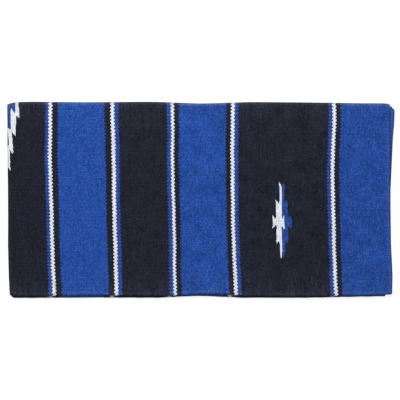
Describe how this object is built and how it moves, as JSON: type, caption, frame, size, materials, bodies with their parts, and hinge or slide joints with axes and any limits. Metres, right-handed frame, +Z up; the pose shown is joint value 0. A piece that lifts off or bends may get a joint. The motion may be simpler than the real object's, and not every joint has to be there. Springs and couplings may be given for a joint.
{
  "type": "folded saddle blanket",
  "caption": "Flat-woven striped saddle blanket with stepped figures, folded in four; one side swings open on the fold along the horse's spine.",
  "frame": {"origin": "middle of the folded blanket's footprint, on the surface it lies on", "axes": "+X along the blanket's length, from the ply fold to the cloth's ends; +Y from the hems to the spine fold; +Z up through the four layers"},
  "size_m": [0.8066, 0.4074, 0.0129],
  "materials": {
    "royal_wool": "matt weft-faced wool",
    "black_wool": "matt weft-faced wool",
    "white_wool": "matt weft-faced wool",
    "undyed_wool": "tightly spun warp yarn",
    "spine_wool": "the bands' own yarns where they bend over"
  },
  "bodies": {
    "off_side": {"off_centre_band": "black_wool", "off_inner_black_band": "black_wool", "off_inner_end_heading": "royal_wool", "off_inner_end_royal_band": "royal_wool", "off_inner_fifth_pinstripes": "white_wool", "off_inner_first_pinstripes": "white_wool", "off_inner_first_royal_band": "royal_wool", "off_inner_fourth_pinstripes": "white_wool", "off_inner_motif_band": "black_wool", "off_inner_motif_royal": "royal_wool", "off_inner_motif_white": "white_wool", "off_inner_second_pinstripes": "white_wool", "off_inner_second_royal_band": "royal_wool", "off_inner_third_pinstripes": "white_wool", "off_outer_black_band": "black_wool", "off_outer_end_heading": "royal_wool", "off_outer_end_royal_band": "royal_wool", "off_outer_fifth_pinstripes": "white_wool", "off_outer_first_pinstripes": "white_wool", "off_outer_first_royal_band": "royal_wool", "off_outer_fourth_pinstripes": "white_wool", "off_outer_motif_band": "black_wool", "off_outer_motif_royal": "royal_wool", "off_outer_motif_white": "white_wool", "off_outer_second_pinstripes": "white_wool", "off_outer_second_royal_band": "royal_wool", "off_outer_third_pinstripes": "white_wool", "off_selvedge_cord": "undyed_wool", "off_warp": "undyed_wool", "spine_fold": "spine_wool"},
    "near_side": {"near_centre_band": "black_wool", "near_inner_black_band": "black_wool", "near_inner_end_heading": "royal_wool", "near_inner_end_royal_band": "royal_wool", "near_inner_fifth_pinstripes": "white_wool", "near_inner_first_pinstripes": "white_wool", "near_inner_first_royal_band": "royal_wool", "near_inner_fourth_pinstripes": "white_wool", "near_inner_motif_band": "black_wool", "near_inner_motif_royal": "royal_wool", "near_inner_motif_white": "white_wool", "near_inner_second_pinstripes": "white_wool", "near_inner_second_royal_band": "royal_wool", "near_inner_third_pinstripes": "white_wool", "near_outer_black_band": "black_wool", "near_outer_end_heading": "royal_wool", "near_outer_end_royal_band": "royal_wool", "near_outer_fifth_pinstripes": "white_wool", "near_outer_first_pinstripes": "white_wool", "near_outer_first_royal_band": "royal_wool", "near_outer_fourth_pinstripes": "white_wool", "near_outer_motif_band": "black_wool", "near_outer_motif_royal": "royal_wool", "near_outer_motif_white": "white_wool", "near_outer_second_pinstripes": "white_wool", "near_outer_second_royal_band": "royal_wool", "near_outer_third_pinstripes": "white_wool", "near_selvedge_cord": "undyed_wool", "near_warp": "undyed_wool"}
  },
  "joints": [
    {"name": "spine_fold", "type": "hinge", "parent": "off_side", "child": "near_side", "pos_m": [0, 0.19715, 0.00645], "axis": [-1, 0, 0], "range_deg": [0, 179.9], "deforming": ["spine_fold"]}
  ]
}
